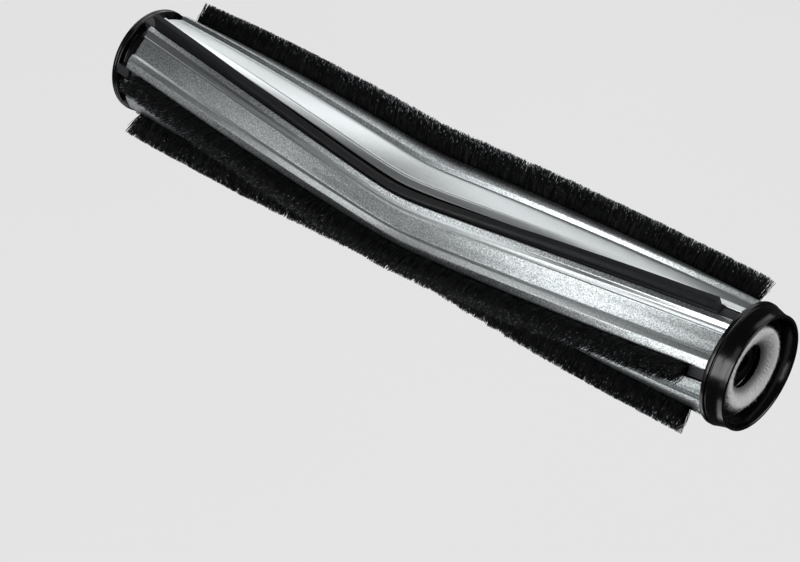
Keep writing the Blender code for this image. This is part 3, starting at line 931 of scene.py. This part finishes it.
# ------------------------------------------------------------
# Felt ring. A thick washer of white pressed wool felt, glued to the floor of the recess. Its front is dished
# towards the hole and its surface is fuzzy with loose fibre ends.
# ------------------------------------------------------------
FELT_RADIUS = 14.0 * MM
FELT_HOLE = 7.4 * MM
FELT_FRONT = 136.4 * MM
FELT_BACK = RECESS_FLOOR + FIT_GAP
FELT_WAVES = 26
FUZZ_COUNT = 8000


def felt_section(share):
    """The washer's closed half section: back, rim, crowned front and a slope down to the hole.

    It gives x and radius at each share of the way round. The depths are in thirds of its thickness.
    """
    depth = np.array([3.0, 3.0, 0.9, 0.15, 0.0, 0.2, 0.75, 1.6, 2.5, 3.0])
    inset = np.array([6.4, 0.0, 0.0, 0.6, 1.4, 2.4, 3.6, 4.8, 6.0, 6.6]) * MM
    reach = FELT_RADIUS - inset
    x = FELT_FRONT - depth / depth.max() * (FELT_FRONT - FELT_BACK)
    along = np.concatenate([[0.0], np.cumsum(np.hypot(np.diff(x), np.diff(reach)))])
    along /= along[-1]
    return np.interp(share, along, x), np.interp(share, along, reach)


def felt_lumps(share, turn, rng):
    """Unevenness of the felt from -1 to 1: the mean of waves round the ring and across its section."""
    total = np.zeros(np.broadcast(share, turn).shape)
    for _ in range(FELT_WAVES):
        around_waves = rng.integers(5, 90)
        across_waves = rng.integers(1, 14)
        phase = rng.uniform(0.0, 2 * np.pi)
        total += np.sin(around_waves * turn + across_waves * 2 * np.pi * share + phase)
    return total / FELT_WAVES


def make_felt():
    """The washer's skin, lumpy by about a tenth of a millimetre, with its section smoothed at the corners."""
    rng = np.random.default_rng(7)
    share = np.linspace(0.0, 1.0, 160, endpoint=False)
    x, radius = felt_section(share)
    soft = np.array([1, 4, 7, 8, 7, 4, 1]) / 32
    x = sum(weight * np.roll(x, step - 3) for step, weight in enumerate(soft))
    radius = sum(weight * np.roll(radius, step - 3) for step, weight in enumerate(soft))
    turn = np.linspace(0.0, 2 * np.pi, 240, endpoint=False)[:, None]
    lumps = felt_lumps(share[None, :], turn, rng) * 0.5 * MM
    middle_x = (FELT_FRONT + FELT_BACK) / 2
    middle_radius = (FELT_RADIUS + FELT_HOLE) / 2
    out_x = np.sign(x - middle_x)[None, :] * lumps * 0.6
    out_radius = np.sign(radius - middle_radius)[None, :] * lumps
    points = around(x[None, :] + out_x - 0.1 * MM, np.degrees(turn), radius[None, :] + out_radius)
    made = grid_object("felt_washer", points, close_rows=True, close_columns=True)
    carry_number(made, "depth", (FELT_FRONT - mesh_points(made)[:, 0]) / (FELT_FRONT - FELT_BACK))
    return made


def make_fuzz():
    """Loose fibre ends: slivers with a small triangle at the root, that stand out of the felt at random."""
    rng = np.random.default_rng(8)
    share = rng.uniform(0.30, 0.92, FUZZ_COUNT)
    turn = rng.uniform(0.0, 2 * np.pi, FUZZ_COUNT)
    x, radius = felt_section(share)
    root = around(x - 0.05 * MM, np.degrees(turn), radius)
    outward = around(0.0, np.degrees(turn), 1.0)
    face = np.array([[1.0, 0.0, 0.0]])
    middle_radius = (FELT_RADIUS + FELT_HOLE) / 2
    side = np.where(radius > middle_radius, 1.0, -1.0)[:, None]
    edge = np.clip(np.abs(radius - middle_radius) / (3 * MM), 0.0, 1.0)[:, None]
    direction = face * (1.1 - edge) + outward * side * edge + rng.normal(0.0, 0.7, (FUZZ_COUNT, 3))
    direction /= np.linalg.norm(direction, axis=1, keepdims=True)
    tip = root + direction * rng.uniform(0.2, 0.7 + 0.5 * edge[:, 0])[:, None] * MM
    sideways = np.cross(direction, rng.normal(0.0, 1.0, (FUZZ_COUNT, 3)))
    sideways /= np.linalg.norm(sideways, axis=1, keepdims=True)
    third = np.cross(direction, sideways)
    width = 0.022 * MM
    far_side = root - sideways * width * 0.5
    corners = [root + sideways * width, far_side + third * width, far_side - third * width, tip]
    points = np.stack(corners, axis=1)
    first = np.arange(FUZZ_COUNT)[:, None, None] * 4
    faces = first + np.array([[0, 1, 3], [1, 2, 3], [2, 0, 3], [0, 2, 1]])[None]
    mesh = bpy.data.meshes.new("felt_fuzz")
    mesh.from_pydata(points.reshape(-1, 3).tolist(), [], faces.reshape(-1, 3).tolist())
    made = add_object("felt_fuzz", mesh)
    carry_number(made, "depth", (FELT_FRONT - points.reshape(-1, 3)[:, 0]) / (FELT_FRONT - FELT_BACK))
    return made


def felt_paint():
    """Off-white wool: matted fibres, small shaded pits, and painted shade that makes it almost black with
    depth towards the bearing.
    """
    paint = Paint("white_felt", Sheen_Weight=0.2, Sheen_Roughness=0.6)
    fibre = paint.noise(2400.0, 5.0, 0.7)
    matting = paint.noise(520.0, 4.0, 0.6)
    patch = paint.noise(110.0, 2.0)
    tone = fibre * 0.35 + matting * 0.4 + patch * 0.25
    unshaded_felt = paint.blend(tone, (0.60, 0.60, 0.60, 1.0), (0.96, 0.96, 0.95, 1.0))
    # Painted shade: the felt darkens almost to black with depth towards the hole.
    painted_hole_shade = paint.attribute("depth").between(0.22, 0.95) * 0.92
    paint.feed("Base Color", paint.blend(painted_hole_shade, unshaded_felt, (0.035, 0.035, 0.035, 1.0)))
    paint.feed("Roughness", 0.9 + fibre * 0.08)
    paint.bump(fibre * 0.5 + matting * 0.5, 0.00035, 0.8)
    return paint


felt_white = felt_paint()
felt = wear(make_felt(), felt_white)
fuzz = wear(make_fuzz(), felt_white)
for piece in (felt, fuzz):
    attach(piece, "roller")
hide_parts("felt_ring")


# ------------------------------------------------------------
# Left end cap. The same black plastic: a thin flange with a rounded rim, a shoulder against the profile, a
# boss pressed into its bore, and matt keys in the ends of the channels.
# ------------------------------------------------------------
LEFT_FLANGE = -136.4 * MM
SOCKET_RADIUS = 10.0 * MM
SOCKET_FLOOR = -124.0 * MM


def left_cap_corners():
    """Half section of the cap, from the middle of the socket's floor round to the middle of the boss."""
    boss = BORE_RADIUS - FIT_GAP
    shoulder = CORE_LEFT - FIT_GAP
    pocket = SOCKET_RADIUS + FIT_GAP
    edge = 0.3 * MM
    return [
        (SOCKET_FLOOR, 0.0, 0.0),
        (SOCKET_FLOOR, pocket, edge),
        (-HALF_LENGTH + 1.4 * MM, pocket, edge),
        (-HALF_LENGTH + 1.4 * MM, CAP_RADIUS - 2.3 * MM, 0.5 * MM),
        (-HALF_LENGTH, CAP_RADIUS - 1.9 * MM, 0.4 * MM),
        (-HALF_LENGTH, CAP_RADIUS, 0.7 * MM),
        (-HALF_LENGTH + 1.1 * MM, CAP_RADIUS, 0.2 * MM),
        (-HALF_LENGTH + 1.3 * MM, CAP_RADIUS - 0.15 * MM, 0.1 * MM),
        (LEFT_FLANGE, CAP_RADIUS - 0.15 * MM, 0.5 * MM),
        (LEFT_FLANGE, CAP_RADIUS - 2.6 * MM, edge),
        (shoulder, CAP_RADIUS - 2.8 * MM, edge),
        (shoulder, boss, edge),
        (SOCKET_FLOOR + 2.5 * MM, boss, 0.6 * MM),
        (SOCKET_FLOOR + 2.5 * MM, 0.0, 0.0),
    ]


left_cap = wear(turn_corners("left_cap", left_cap_corners()), gloss_black)
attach(left_cap, "roller")
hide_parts("left_end_cap")
left_keys = wear(make_keys("left_cap_keys", LEFT_FLANGE - 0.2 * MM, STRIP_LEFT - FIT_GAP), dark_plastic)
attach(left_keys, "roller")


# ------------------------------------------------------------
# Drive socket. A tough dark grey insert with a lobed hole, pressed into the left cap, that the machine's
# drive dog turns.
# ------------------------------------------------------------
SOCKET_LOBES = 6


def make_socket():
    """A ring whose hole swells and narrows once for each lobe, with eased edges at its mouth.

    At an angle a the hole's radius is 7.3 mm + 0.9 mm tanh(2.6 sin(6 a + 0.5)).
    """
    mouth = -HALF_LENGTH + 1.2 * MM
    floor = SOCKET_FLOOR - FIT_GAP
    turn = np.linspace(0.0, 2 * np.pi, 240, endpoint=False)[:, None]
    lobes = 7.3 * MM + 0.9 * MM * np.tanh(2.6 * np.sin(SOCKET_LOBES * turn + 0.5))
    ease = 0.5 * MM
    x = np.array([mouth + ease, mouth, mouth, mouth + ease, floor, floor])[None, :]
    outer = np.full_like(turn, SOCKET_RADIUS)
    radius = np.hstack([outer, outer - ease, lobes + ease, lobes, lobes, outer])
    points = around(x, np.degrees(turn), radius)
    made = grid_object("socket_insert", points, close_rows=True, close_columns=True)
    made.data.set_sharp_from_angle(angle=math.radians(35.0))
    return made


socket = wear(make_socket(), dark_plastic)
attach(socket, "roller")
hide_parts("drive_socket")


# ------------------------------------------------------------
# Studio. A wide pale floor that glows far below the roller, soft lights that each give one side of it a
# sheen, and the camera.
# ------------------------------------------------------------
FLOOR_DEPTH = 0.45


def make_floor():
    """One large pale square that glows evenly, like a light table, and leaves no mark on the roller."""
    size = 14.0
    corner = np.array([-size, size])
    points = np.stack(np.meshgrid(corner, corner, indexing="ij") + [np.full((2, 2), -FLOOR_DEPTH)], axis=-1)
    floor = grid_object("floor", points, smooth=False)
    paint = Paint("pale_floor", Roughness=0.9, Emission_Strength=1.0)
    mottle = paint.noise(3.0, 2.0)
    paint.feed("Base Color", paint.blend(mottle, grey(0.06), grey(0.07)))
    paint.feed("Emission Color", paint.blend(mottle, grey(0.728), grey(0.738)))
    wear(floor, paint)
    floor.visible_glossy = False
    floor.visible_diffuse = False


def make_light(name, along, azimuth, distance, size, brightness):
    """A rectangular softbox that faces the roller's middle.

    Its direction is given as a share along the roller's axis and an angle round it, and its size along the
    roller and round it. Its brightness is that of its surface.
    """
    data = bpy.data.lights.new(name, "AREA")
    data.shape = "RECTANGLE"
    data.size, data.size_y = size
    data.energy = brightness * math.pi * size[0] * size[1]
    lamp = add_object(name, data)
    angle = math.radians(azimuth)
    across = math.sqrt(1.0 - along**2)
    out = Vector((along, -across * math.cos(angle), across * math.sin(angle)))
    round_axis = Vector((0.0, math.sin(angle), math.cos(angle)))
    lengthwise = round_axis.cross(out)
    turn = Matrix((lengthwise, round_axis, out)).transposed().to_4x4()
    lamp.matrix_world = Matrix.Translation(out * distance) @ turn


def make_camera():
    """A long lens that looks down at the roller from the front right."""
    azimuth, elevation = math.radians(42.43), math.radians(36.39)
    distance, aside, lift = 0.8553, -0.0101, -0.0267
    flat = math.cos(elevation)
    back = Vector((math.sin(azimuth) * flat, -math.cos(azimuth) * flat, math.sin(elevation)))
    right = Vector((0, 0, 1)).cross(back).normalized()
    up = back.cross(right)
    data = bpy.data.cameras.new("camera")
    data.lens = 112.5
    camera = add_object("camera", data)
    place = back * distance + right * aside + up * lift
    turn = Matrix((right, up, back)).transposed().to_4x4()
    camera.matrix_world = Matrix.Translation(place) @ turn
    data.clip_start, data.clip_end = 0.01, 50.0
    bpy.context.scene.camera = camera


def set_sky(level):
    """An even pale surround."""
    world = bpy.data.worlds.new("studio")
    world.use_nodes = True
    background = world.node_tree.nodes["Background"]
    background.inputs["Color"].default_value = grey(1.0)
    background.inputs["Strength"].default_value = level
    bpy.context.scene.world = world


make_floor()
set_sky(0.035)
make_light("front_box", -0.04, 20.0, 1.0, (0.58, 0.62), 4.4)
make_light("high_box", -0.28, 54.0, 1.0, (0.32, 0.42), 0.6)
make_light("fill_box", -0.30, 16.0, 1.0, (0.45, 1.0), 0.42)
make_light("top_box", -0.72, 110.0, 1.0, (0.35, 0.7), 0.8)
make_light("back_box", -0.52, 139.0, 1.0, (0.7, 0.9), 0.9)
make_light("left_box", -0.78, 178.0, 1.0, (0.4, 0.4), 0.6)
make_light("low_box", -0.40, -62.0, 0.5, (0.35, 0.45), 1.5)
make_light("side_box", 0.82, 132.0, 1.1, (0.8, 0.9), 3.4)
make_camera()
bpy.context.scene.view_settings.view_transform = "Standard"
